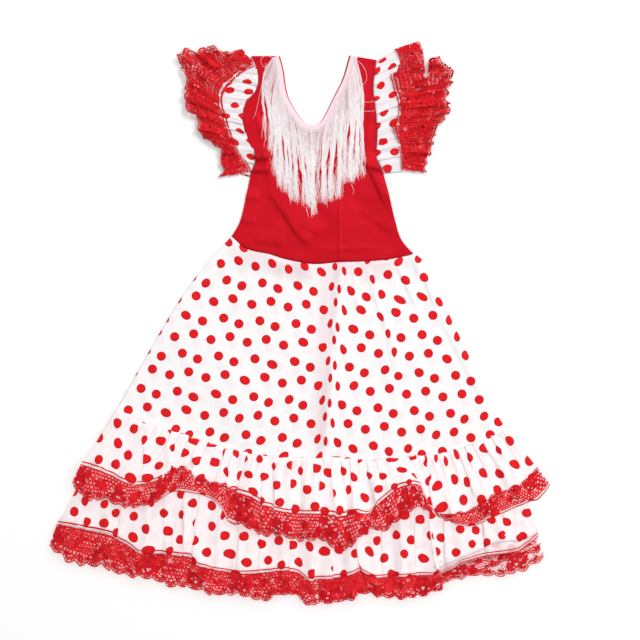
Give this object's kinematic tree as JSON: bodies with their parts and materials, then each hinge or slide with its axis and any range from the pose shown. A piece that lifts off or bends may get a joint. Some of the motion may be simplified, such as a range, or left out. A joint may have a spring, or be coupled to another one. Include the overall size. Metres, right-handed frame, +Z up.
{
  "type": "flamenco dress",
  "caption": "Child's flamenco dress laid flat: red bodice with a fringed V neck, frilled sleeves, and a white dotted skirt with two lace-edged ruffles.",
  "frame": {"origin": "on the surface that the dress lies on, below the middle of its outline", "axes": "+X across the dress to the right of someone looking down at its front, +Y from the hem to the shoulders, +Z up, out of the front"},
  "size_m": [0.7783, 0.8728, 0.0232],
  "materials": {
    "red_satin": "satin",
    "dotted_white": "matte",
    "red_lace": "matte",
    "white_fringe": "satin"
  },
  "bodies": {
    "root": {"bodice_back": "red_satin", "bodice_front": "red_satin", "fringe_left": "white_fringe", "fringe_right": "white_fringe", "lower_lace_back": "red_lace", "lower_lace_front": "red_lace", "lower_ruffle_back": "dotted_white", "lower_ruffle_front": "dotted_white", "skirt_back": "dotted_white", "skirt_front": "dotted_white", "sleeve_lace_left_back": "red_lace", "sleeve_lace_left_front": "red_lace", "sleeve_lace_right_back": "red_lace", "sleeve_lace_right_front": "red_lace", "sleeve_left_back": "dotted_white", "sleeve_left_front": "dotted_white", "sleeve_right_back": "dotted_white", "sleeve_right_front": "dotted_white", "upper_lace_back": "red_lace", "upper_lace_front": "red_lace", "upper_ruffle_back": "dotted_white", "upper_ruffle_front": "dotted_white"}
  },
  "joints": []
}
